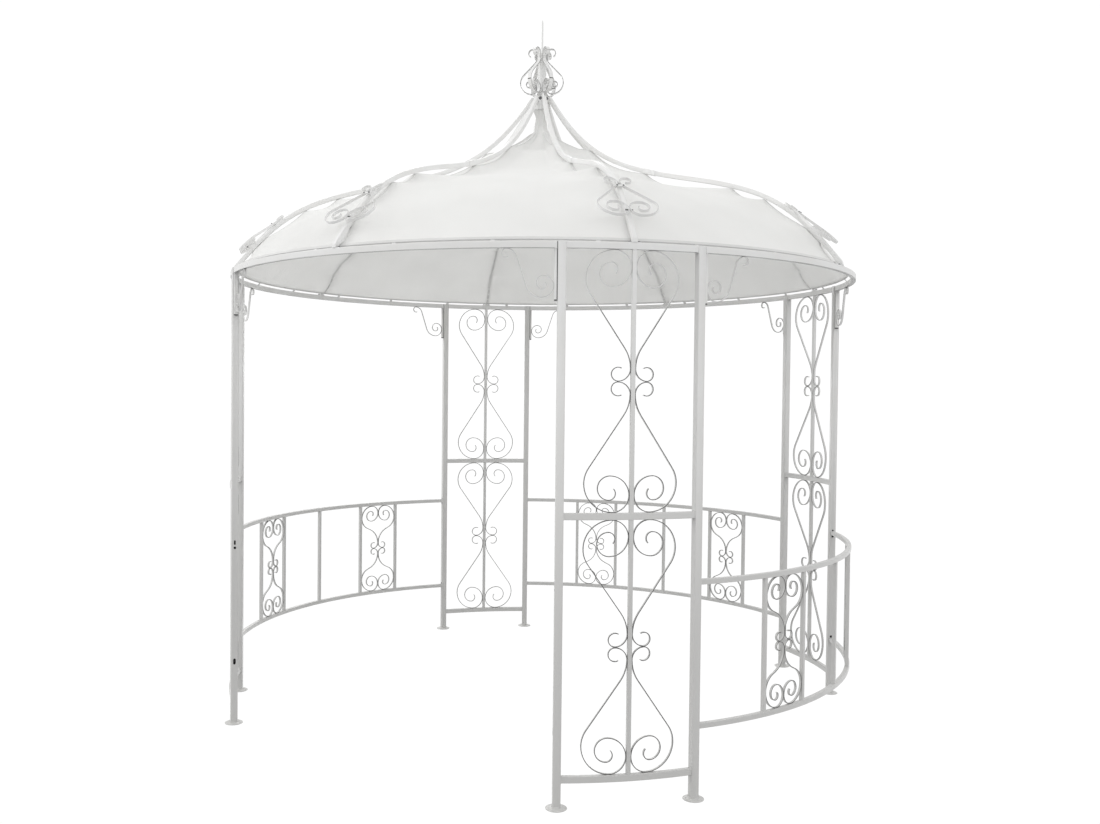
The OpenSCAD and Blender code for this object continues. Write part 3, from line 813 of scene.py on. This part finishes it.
# %% Beams with their upright bars
# a strip is joint_clear thinner than its gap, and a bar ends bar_in below the middle of the ring
joint_gap, joint_clear, plug_h, bar_in = 0.0026, 0.0003, 0.004, 0.004
hanger_a, joint_a = degrees(hanger_w / ring_r), degrees(joint_gap / ring_r)
bar_t, strip_thick = hanger_w - joint_gap, joint_gap - joint_clear
bar = keep(square_tube(hanger_l + beam_h / 2 - bar_in - plug_h, bar_w, bar_t, 0.0018, 0.0008), "hanger")
plug = keep(square_tube(plug_h + 0.001, bar_w - 0.0006, bar_t - 0.0006, 0.0016, 0.0004), "plug")
strip = keep(square_tube(hanger_l - 0.003, bar_w - 0.0012, strip_thick, 0.0004), "joint strip")
ring_strip = keep(square_tube(beam_h - 0.001, beam_d - 0.001, strip_thick, 0.0004), "ring strip")
for bay, way in bay_way.items():
    piece, joints = bmesh.new(), bmesh.new()
    rolled_rail(piece, way - bay_reach + joint_a, way + bay_reach - joint_a, ring_z, beam_h, beam_d)
    for side in (-1, 1):
        stand = at(way + side * (bay_reach - hanger_a / 2), ring_r, ring_z - beam_h / 2 - hanger_l)
        on_bar = stand @ shift(0, -side * joint_gap / 2, 0)
        in_joint = stand @ shift(0, side * (bar_t - joint_clear) / 2, 0.001)
        set_in(piece, bar, on_bar @ shift(0, 0, plug_h))
        # the plug and the strips are painted shade of the joint
        set_in(joints, plug, on_bar)
        set_in(joints, strip, in_joint)
        set_in(joints, ring_strip, in_joint @ shift(0, 0, hanger_l - 0.0005))
        top = stand @ shift(0, 0, hanger_l)
        weld_blob(piece, top @ shift(0, -side * hanger_w / 2, 0), (bar_w / 2 * 0.85, 0.0018, 0.0020))
        for inwards in (-1, 1):
            weld_blob(piece, top @ shift(inwards * bar_w / 2, 0, 0), (0.0018, hanger_w / 2 * 0.8, 0.0018))
    finish_piece(bay + "_ring_beam", piece, [tube_coat], [bay + "_beam"])
    finish_piece(bay + "_joint_strips", joints, [joint_shade_coat])

# %% Corner brackets
bracket_l, bracket_curl, bracket_angle, bracket_lean = 0.175, 0.078, 72, 7
bracket_spiral = (0.18, 0.28, 0.33, 0.46, 0.54)
bracket_in, bracket_out, bracket_end = 0.77, 0.51, 0.2
bracket_foot, bracket_top = 3, 7


def corner_scroll(curl, high):
    """spiral against the upright bar, a slanting run and a small curl under the ring"""
    s = bracket_spiral
    slant = radians(bracket_angle)
    line = (high - curl * (bracket_in + bracket_out) * (1 - cos(slant))) / sin(slant)
    x0 = curl * (s[2] + s[3] - s[0] * half_root - s[1])
    y0 = curl * (s[0] * (1 + half_root) - s[1] - s[2] + s[3] + s[4])
    steps = [(curl * s[0], spiral_start)] + [(curl * s[i], 90) for i in range(1, 5)]
    steps += [(curl * bracket_in, bracket_angle), (line, 0), (curl * bracket_out, -bracket_angle)]
    steps += [(curl * bracket_end, -angle) for angle in (90, 90, 30)]
    return bend_strip(steps, x0, y0)


stock, marks = corner_scroll(bracket_curl, bracket_l - seat)
for bay, way in bay_way.items():
    piece = bmesh.new()
    reach = bay_reach - hanger_a
    for side in (-1, 1):
        plane = chord(way + side * reach, way + side * (reach - bracket_lean))
        where = plane @ shift(seat, ring_z - beam_h / 2 - bracket_l, 0)
        set_in(piece, stock, where)
        weld_scroll(piece, marks, where, (bracket_foot, bracket_top))
    finish_piece(bay + "_corner_scrolls", piece, [strip_coat, edge_shade_coat], [bay + "_brackets"])

# %% [markdown]
# ## Ribs
# Eight ribs of 20 mm square tube run from the hub to the ring in a pagoda line: steep at the
# top, nearly flat at the waist and steep again at the eave.  The line is two smooth curves
# that meet at the waist.  A curve object with a square bevel may twist at the waist, so the
# section is spun from each point to the next about the middle of that small bend.

# %% The rib line: points of (radius, height, heading in degrees)
rib_w, rib_top_z, rib_top_r = 0.020, 2.939, 0.044
waist_r, waist_z, waist_angle, hub_angle, eave_angle = 0.790, 2.469, 12.5, 57.0, 51.5
foot_h, rib_parts = 0.014, 16


def rib_curve(a, angle_a, b, angle_b, pull_a, pull_b, t):
    """point and heading at t of the curve between two points"""
    a, b = Vector(a), Vector(b)
    span = (b - a).length
    down_a = Vector((cos(radians(angle_a)), -sin(radians(angle_a))))
    down_b = Vector((cos(radians(angle_b)), -sin(radians(angle_b))))
    p, q = a + pull_a * span * down_a, b - pull_b * span * down_b
    u = 1 - t
    place = u ** 3 * a + 3 * t * u * u * p + 3 * t * t * u * q + t ** 3 * b
    way = u * u * (p - a) + 2 * t * u * (q - p) + t * t * (b - q)
    return place.x, place.y, degrees(atan2(way.y, way.x))


def upper_rib(t):
    return rib_curve((rib_top_r, rib_top_z), hub_angle, (waist_r, waist_z), waist_angle, 0.42, 0.43, t)


def lower_rib(t):
    return rib_curve((waist_r, waist_z), waist_angle, (ring_r, ring_top + foot_h), eave_angle, 0.47, 0.42, t)


def lengths_along(line):
    """length from the start of a line to each of its points"""
    runs = [0.0]
    for a, b in zip(line, line[1:]):
        runs.append(runs[-1] + hypot(b[0] - a[0], b[1] - a[1]))
    return runs


def point_at(line, runs, run):
    """point of a line at a length along it"""
    run = min(max(run, 0.0), runs[-1] - 1e-9)
    i = next(k for k in range(len(runs) - 1) if runs[k + 1] > run)
    f = (run - runs[i]) / (runs[i + 1] - runs[i])
    return tuple(p + f * (q - p) for p, q in zip(line[i], line[i + 1]))


rib_line = [upper_rib(i / rib_parts) for i in range(rib_parts + 1)]
rib_line += [lower_rib(i / rib_parts) for i in range(1, rib_parts + 1)]
rib_run = lengths_along(rib_line)
print("rib length", round(rib_run[-1], 3), "m")


def rib_at(run):
    """point and heading at a length along the rib"""
    return point_at(rib_line, rib_run, run)


def run_at_radius(radius):
    """length along the rib where it has a radius"""
    i = next(k for k in range(len(rib_line) - 1) if rib_line[k + 1][0] >= radius)
    f = (radius - rib_line[i][0]) / (rib_line[i + 1][0] - rib_line[i][0])
    return rib_run[i] + f * (rib_run[i + 1] - rib_run[i])


# %% Carry a section along the rib line
def carry(points, wide, deep, corner):
    """tube along points of (r, z, heading) in the plane y = 0"""
    r, z, heading = points[0]
    bm, face = rounded_face(deep, wide, corner)
    bm.transform(shift(r, 0, z) @ turn("Y", -heading) @ turn("Y", 90))
    for (r0, z0, h0), (r1, z1, h1) in zip(points, points[1:]):
        bend = radians(h1 - h0)
        if abs(bend) < 1e-4:
            face = run_straight(bm, face, (r1 - r0, 0, z1 - z0))
            continue
        side = Vector((-(z1 - z0), r1 - r0)) / (2 * sin(bend / 2) / cos(bend / 2))
        middle = Vector(((r0 + r1) / 2, (z0 + z1) / 2)) + side
        face = run_bent(bm, face, (middle.x, 0, middle.y), (0, -1, 0), h1 - h0, 1)
    return keep(bm, "rib tube")


# the foot bends upright in four steps and goes 1 mm into the ring
foot_bend, slope = 0.016, radians(eave_angle)
foot_back = foot_bend * (1 - sin(slope)) / cos(slope)
foot_points = []
for step in range(5):
    angle = eave_angle + (90 - eave_angle) * step / 4
    foot_points.append((
        ring_r - foot_bend * (1 - sin(radians(angle))),
        ring_top + foot_h + foot_back * sin(slope) - foot_bend * (cos(slope) - cos(radians(angle))),
        -angle,
    ))
foot_points.append((ring_r, ring_top - 0.001, -90.0))
rib_tube = carry(rib_line[:-1] + foot_points, rib_w, rib_w, 0.0024)
print("rib tube", len(rib_tube.polygons), "faces")

# %% Splice sleeve, foot tab and their bolts on each rib
splice_r, sleeve_over, sleeve_step, screw_runs = 0.575, 0.004, 0.012, (0.006, 0.034)
# the tab is 3 mm thick, goes 0.5 mm into the ring and has a bolt on each side of the rib
tab_thick, tab_top, tab_bolt = 0.0030, 0.0025, 0.0165
splice_run = run_at_radius(splice_r)
sleeve_points = [rib_at(splice_run + step * sleeve_step) for step in range(-1, 5)]
sleeve = carry(sleeve_points, rib_w + sleeve_over, rib_w + sleeve_over, 0.003)


def on_rib(run, off):
    """place on the outer side of a rib: x down the rib, z away from it"""
    r, z, heading = rib_at(run)
    return shift(r, 0, z) @ turn("Y", -heading) @ shift(0, 0, off)


coated_screw = keep(bolt_head(0.0085, 0.0022), "coated screw")
tab = keep(square_tube(tab_thick, 0.046, 0.018, 0.004, 0.0006), "tab")
rib_names = {"front": -90, "front_right": -45, "right": 0, "back_right": 45,
             "back": 90, "back_left": 135, "left": 180, "front_left": 225}
fixings = bmesh.new()
for name, way in rib_names.items():
    piece = bmesh.new()
    spin_to = turn("Z", way)
    foot = spin_to @ shift(ring_r, 0, ring_top)
    set_in(piece, rib_tube, spin_to)
    set_in(piece, sleeve, spin_to)
    set_in(piece, tab, foot @ shift(0, 0, tab_top - tab_thick) @ turn("Z", 90))
    for side in (-1, 1):
        weld_blob(piece, foot @ shift(side * 0.011, 0, 0.003), (0.003, 0.009, 0.0025))
        set_in(fixings, small_bolt, foot @ shift(0, side * tab_bolt, tab_top))
    for run in screw_runs:
        set_in(piece, coated_screw, spin_to @ on_rib(splice_run + run, (rib_w + sleeve_over) / 2))
    finish_piece("rib_tube_" + name, piece, [rib_coat], ["rib_" + name])

# %% [markdown]
# ## Crest scrolls, hub and finial
# A pair of scrolls lies flat on each rib near the eave, bolted at its neck.  The hub is a
# short drum with a bolt between each two ribs.  Six scrolls of a wider flat bar stand round a
# tube on its boss, held at the neck by a collar.  They are bent like those of the panels, but
# with a rounder belly, a straight hold for the collar and a wider, more open curl.

# %% Crest scrolls on the ribs, held by a saddle at the neck, and a dark clip at the curls as painted shade
crest_w, crest_l, crest_neck = 0.234, 0.262, 0.75
crest_r, crest_z, crest_heading = lower_rib(0.665)
crest_reach = crest_w / 2 - strip_t / 2
crest_lift = rib_w / 2 + strip_d / 2 - strip_touch
crest_plane = (shift(crest_r, 0, crest_z) @ turn("Y", -crest_heading) @ turn("Z", 90)
               @ shift(0, -crest_l * crest_neck, crest_lift))
stock, marks = s_scroll(crest_reach, rib_w / 4, crest_l - strip_t, 0.5,
                        crest_reach - strip_t / 2 - strip_clear)
saddle_t, screw_out, screw_up, clip_down = 0.0018, 0.0125, 0.019, 0.155
saddle = keep(square_tube(saddle_t, 0.034, 0.011, 0.004, 0.0004), "saddle")
crest_screw = keep(bolt_head(0.0075, 0.0034), "crest screw")
crest_shade_clip = keep(square_tube(0.0030, 0.030, 0.006, 0.0012, 0.0004), "crest shade clip")
piece = bmesh.new()
for way in rib_names.values():
    for flip in (Matrix(), mirrored("x")):
        where = turn("Z", way) @ crest_plane @ flip
        set_in(piece, stock, where)
        weld_scroll(piece, marks, where, (neck_mark,))
    neck = turn("Z", way) @ crest_plane @ shift(0, crest_l * crest_neck, 0)
    set_in(piece, saddle, neck @ shift(0, 0, strip_d / 2))
    for across, up in ((-screw_out, 0), (screw_out, 0), (0, screw_up)):
        off = strip_d / 2 + saddle_t - 0.0002 if across else -strip_d / 2
        set_in(fixings, crest_screw, neck @ shift(across, up, off))
    # painted shade: a dark zinc clip under the curls stands for the shade between curls and rib
    set_in(fixings, crest_shade_clip, neck @ shift(0, -clip_down, -strip_d / 2 - 0.0006))
finish_piece("crest_scrollwork", piece, [strip_coat, crest_edge_shade], ["rib_scrolls"])

# %% Hub drum, its boss and the bolts between the ribs
hub_d, hub_h, hub_rise, boss_d, boss_h = 0.084, 0.062, 0.006, 0.012, 0.018
drum_top = rib_top_z + hub_rise
hub_top = drum_top + boss_h
drum, boss = hub_d / 2, boss_d / 2
hub_line = [(0.0, drum_top - hub_h), (drum - 0.002, drum_top - hub_h), (drum, drum_top - hub_h + 0.002),
            (drum, drum_top - 0.0015), (drum - 0.0015, drum_top), (boss + 0.001, drum_top),
            (boss, drum_top + 0.001), (boss, hub_top - 0.001), (boss - 0.001, hub_top), (0.0, hub_top)]
piece = bmesh.new()
set_in(piece, keep(lathed(hub_line, 64), "hub"))
for way in rib_names.values():
    for side in (-1, 1):
        spot = turn("Z", way) @ shift(drum - 0.001, side * rib_w / 2, rib_top_z - 0.012)
        weld_blob(piece, spot, (0.0022, 0.0018, rib_w / 2))
    set_in(fixings, hub_bolt, turn("Z", way + 22.5) @ shift(drum, 0, rib_top_z - 0.003) @ turn("Y", 90))
finish_piece("hub_drum", piece, [strip_coat], ["hub"])
print("hub top", round(hub_top, 4))

# %% Finial: six scrolls round a tube, a collar with two beads and a spike with a turned point
finial_r, finial_h, spike_d, spike_l, tip_l, tip_d = 0.107, 0.222, 0.009, 0.143, 0.014, 0.002
collar_d, collar_h, finial_n, finial_turn, finial_bar = 0.049, 0.022, 6, 27, 0.020
stem_d, stem_gap = 0.042, 0.018
finial_reach = finial_r - strip_t / 2
stock, marks = s_scroll(finial_reach, collar_d / 2 + seat, finial_h - strip_t, 1.0,
                        finial_reach - collar_d / 2 - strip_t / 2, finial_bar, finial_shape)
piece = bmesh.new()
for i in range(finial_n):
    where = turn("Z", finial_turn + i * 360 / finial_n) @ shift(0, 0, hub_top + seat) @ turn("X", 90)
    set_in(piece, stock, where)
    weld_scroll(piece, marks, where, (neck_mark,), deep=finial_bar)
finish_piece("finial_scrollwork", piece, [strip_coat, finial_edge_shade], ["finial_scrolls"])
collar_z, stem_z = hub_top + finial_h * 0.68, hub_top + stem_gap
spike_top = hub_top + finial_h + spike_l
c, s, t = collar_d / 2, spike_d / 2, stem_d / 2
spike_line = [(0.0, hub_top), (s, hub_top), (s, stem_z), (t - 0.001, stem_z), (t, stem_z + 0.001),
              (t, collar_z), (c - 0.001, collar_z), (c, collar_z + 0.001),
              (c, collar_z + 0.006), (c - 0.0018, collar_z + 0.0085), (c - 0.0018, collar_z + 0.0135),
              (c, collar_z + 0.016), (c, collar_z + collar_h - 0.001), (c - 0.001, collar_z + collar_h),
              (s, collar_z + collar_h), (s, spike_top - tip_l), (s * 0.8, spike_top - tip_l * 0.6),
              (s * 0.45, spike_top - tip_l * 0.18), (tip_d / 4, spike_top), (0.0, spike_top)]
piece = bmesh.new()
set_in(piece, keep(lathed(spike_line, 32), "spike"))
finish_piece("finial_rod", piece, [strip_coat], ["finial_spike"])
print("spike top", round(spike_top, 4))

# %% [markdown]
# ## Canopy
# The canopy is one sheet sewn from eight gores, gathered to a neck under the hub and tied up
# under the ribs, so it is taut from rib to rib, hangs in shallow swags between its ties and is
# pulled straight across each gore.  Straps hold its hem to the ring.  A cord along the hem is
# painted mid grey: painted shade for the dark gap just above the ring.
# A cloth simulation would find nearly the same shape, but it would also wrinkle a sheet that
# is really smooth, so the swags are given: one gore is a fine grid laid on the rib
# line, moved down by the swag and in towards the chord, then copied round eight times and
# merged into one continuous surface.

# %% The line of the cloth under a rib
cloth_t = 0.0012
tie_half = rib_w / 2 + 0.0015
hem_r, hem_z = ring_r - beam_d / 2 - 0.013, ring_top + 0.0085
# radius of each tie, how far the cloth hangs below the rib line between it and the next, and
# how far along that stretch it hangs lowest
ties = ((0.285, 0.024, 0.45), (0.575, 0.043, 0.28), (1.000, 0.033, 0.42), (1.150, 0.028, 0.45),
        (1.332, 0.0125, 0.5), (1.396, 0.027, 0.6))
tie_runs = [run_at_radius(radius) for radius, _, _ in ties]
hem_run = run_at_radius(1.445)
# the neck gathered under the hub, and the cone below it down to the first tie
r, z, heading = rib_at(tie_runs[0])
crown_line = [(0.0405, 2.8825), (0.036, 2.872), (0.028, 2.856), (0.028, 2.802), (0.036, 2.778),
              (0.060, 2.761), (0.101, 2.729), (0.148, 2.702), (0.212, 2.671),
              (r + tie_half * sin(radians(heading)), z - tie_half * cos(radians(heading)))]
crown_l = lengths_along(crown_line)
crown_run = tie_runs[0] - crown_l[-1]


def swag(run):
    """distance of the cloth below the rib line along the seam"""
    for start, (_, deep, lowest), stop in zip(tie_runs, ties, tie_runs[1:] + [hem_run]):
        if run <= stop:
            f = (run - start) / (stop - start)
            part = f / lowest if f < lowest else (1 - f) / (1 - lowest)
            return tie_half + (deep - tie_half) * sin(pi / 2 * part) ** 0.9
    return tie_half


def smooth_step(value):
    """0 up to 0, 1 from 1 on, and a soft rise between"""
    value = min(max(value, 0.0), 1.0)
    return value * value * (3 - 2 * value)


mid_drop, mid_more, pull_share, hem_fade = 0.034, 0.012, 0.45, 0.062


def cloth_at(run, share):
    """radius and height of the cloth; share is 0 at the seam and 1 along the middle of a gore"""
    middle = mid_drop + mid_more * sin(pi * max(run, tie_runs[0]) / hem_run)
    pull = smooth_step(share / pull_share)
    if run < tie_runs[0]:
        r, z = point_at(crown_line, crown_l, run - crown_run)
        heading = rib_at(tie_runs[0])[2]
        drop = (middle - tie_half) * pull * smooth_step((run - crown_run) / crown_l[-1])
        return r + drop * sin(radians(heading)), z - drop * cos(radians(heading))
    r, z, heading = rib_at(run)
    drop = swag(run) * (1 - pull) + middle * pull
    r, z = r + drop * sin(radians(heading)), z - drop * cos(radians(heading))
    end = smooth_step((hem_run - run) / hem_fade)
    return hem_r + (r - hem_r) * end, hem_z + (z - hem_z) * end


print("cloth under the waist", [round(v, 3) for v in cloth_at(run_at_radius(0.78), 0.0)])

# %% One gore as a grid, eight gores as one sheet
gore_across, gore_down, gore_half = 24, 104, 22.5
flat_share, ripple_high, ripple_step = 0.72, 0.0016, 15


def gore_place(run, angle):
    """place of the cloth at an angle from the middle of its gore"""
    r, z = cloth_at(run, 1 - abs(angle) / gore_half)
    f = run / hem_run
    flat = flat_share * smooth_step(f / 0.14) * smooth_step((1 - f) / 0.30)
    r *= 1 - flat + flat * cos(radians(gore_half)) / cos(radians(angle))
    ripple = ripple_high * smooth_step((f - 0.80) / 0.16) * smooth_step((1 - f) / 0.03)
    z += ripple * cos(radians(angle * 360 / ripple_step))
    return Vector((r * cos(radians(angle)), r * sin(radians(angle)), z))


def gore():
    """grid with two maps in metres: one from the middle of the gore, one from its seams"""
    bm = bmesh.new()
    bmesh.ops.create_grid(bm, x_segments=gore_across, y_segments=gore_down, size=1.0)
    cloth_map, seam_map = bm.loops.layers.uv.new("cloth"), bm.loops.layers.uv.new("seam")
    spot = {}
    for vert in bm.verts:
        angle = vert.co.x * gore_half
        run = crown_run + (hem_run - crown_run) * (vert.co.y + 1) / 2
        vert.co = gore_place(run, angle)
        radius = hypot(vert.co.x, vert.co.y)
        spot[vert] = (radius * radians(angle), run, radius * radians(gore_half))
    for face in bm.faces:
        for loop in face.loops:
            across, down, edge = spot[loop.vert]
            loop[cloth_map].uv = (across, down)
            loop[seam_map].uv = (edge - abs(across), down)
    return keep(bm, "gore")


sheet = bmesh.new()
gore_stock = gore()
for way in rib_names.values():
    set_in(sheet, gore_stock, turn("Z", way + gore_half))
bmesh.ops.remove_doubles(sheet, verts=sheet.verts, dist=0.0004)
for face in sheet.faces:
    if face.normal.z < 0:
        face.normal_flip()
flat_area = sum(face.calc_area() for face in sheet.faces)
canopy = finish_piece("canopy_cloth", sheet, [canopy_cloth], ["canopy"], 80.0)
thick = canopy.modifiers.new("cloth thickness", "SOLIDIFY")
thick.thickness, thick.offset = cloth_t, 0.0
print("sheet", round(flat_area, 3), "square metres")

# %% Seam tapes, hem and cord
tape_parts, ring_parts = 130, 144
tape_w, tape_t, band_t, hem_w, hem_up, hem_lean = 0.013, 0.0028, 0.0022, 0.014, 0.0045, 18
cord_out, cord_up = 0.0035, 0.0005
tape_start = crown_run + 0.13
tape_runs = [tape_start + (hem_run - tape_start) * i / tape_parts for i in range(tape_parts + 1)]
line = [cloth_at(run, 0.0) for run in tape_runs]
tape_points = [(r, z, degrees(atan2(zb - za, rb - ra)))
               for (r, z), (ra, za), (rb, zb) in zip(line, line[:1] + line, line[1:] + line[-1:])]
tape_stock = carry(tape_points, tape_w, tape_t, 0.0009)


def round_band(wide, high, corner, where):
    """closed band of a rounded section, carried once round the gazebo"""
    bm, face = rounded_face(wide, high, corner, 3)
    bm.transform(where)
    bmesh.ops.delete(bm, geom=[face], context="FACES_ONLY")
    full_turn(bm, bm.verts[:] + bm.edges[:], ring_parts)
    return bm


def map_tape(bm):
    """map in metres from the place: round the ring and along the slope"""
    layer = bm.loops.layers.uv.new("tape")
    for face in bm.faces:
        for loop in face.loops:
            x, y, z = loop.vert.co
            loop[layer].uv = (atan2(y, x) * ring_r, hypot(x, y) + z)


tapes = bmesh.new()
for way in rib_names.values():
    set_in(tapes, tape_stock, turn("Z", way))
hem_place = shift(hem_r, 0, hem_z + hem_up) @ turn("X", 90) @ turn("Z", hem_lean)
set_in(tapes, keep(round_band(band_t, hem_w, 0.0009, hem_place), "hem"))
# the cord is painted shade, a grey line for the gap just above the ring
cord_place = shift(hem_r + cord_out, 0, hem_z + cord_up) @ turn("X", 90)
cord_band = round_band(band_t, band_t, 0.0010, cord_place)
cord = finish_piece("canopy_shade_cord", cord_band, [cord_shade_coat], ())
map_tape(tapes)
seam_tapes = finish_piece("canopy_seams_and_hem", tapes, [webbing], ())

# %% Straps round the ribs and the ring
strap_t, strap_w, strap_slack = 0.0012, 0.016, 0.001
ring_ties, first_tie, tail_lean = 24, -95.0, 40


def strap_loop(wide, high):
    """band of webbing round a tube that runs along y"""
    over = 2 * strap_t + strap_slack
    bm, face = rounded_face(wide + over, high + over, 0.003, 2)
    bmesh.ops.inset_region(bm, faces=[face], thickness=strap_t, use_even_offset=True)
    bmesh.ops.delete(bm, geom=[face], context="FACES")
    made = bmesh.ops.extrude_face_region(bm, geom=bm.faces[:])
    moved = [g for g in made["geom"] if isinstance(g, bmesh.types.BMVert)]
    bmesh.ops.translate(bm, vec=(0, 0, strap_w), verts=moved)
    bmesh.ops.translate(bm, vec=(0, 0, -strap_w / 2), verts=bm.verts)
    bm.transform(turn("X", 90))
    return keep(bm, "strap")


rib_strap, ring_strap = strap_loop(rib_w, rib_w), strap_loop(beam_d, beam_h)
straps = bmesh.new()
for way in rib_names.values():
    for run in tie_runs:
        set_in(straps, rib_strap, turn("Z", way) @ on_rib(run, 0) @ turn("Z", 90))
tail_stock = keep(square_tube(0.019, 0.0016, strap_w, 0.0006), "tail")
for i in range(ring_ties):
    way = first_tie + 360 / ring_ties * i
    set_in(straps, ring_strap, at(way, ring_r, ring_z))
    tail_end = at(way, ring_r - beam_d / 2 - 0.001, ring_top - 0.003)
    set_in(straps, tail_stock, tail_end @ turn("Y", -tail_lean))
map_tape(straps)
strap_piece = finish_piece("canopy_straps", straps, [webbing], ())

# %% Fixings
finish_piece("bolts", fixings, [bolt_zinc])
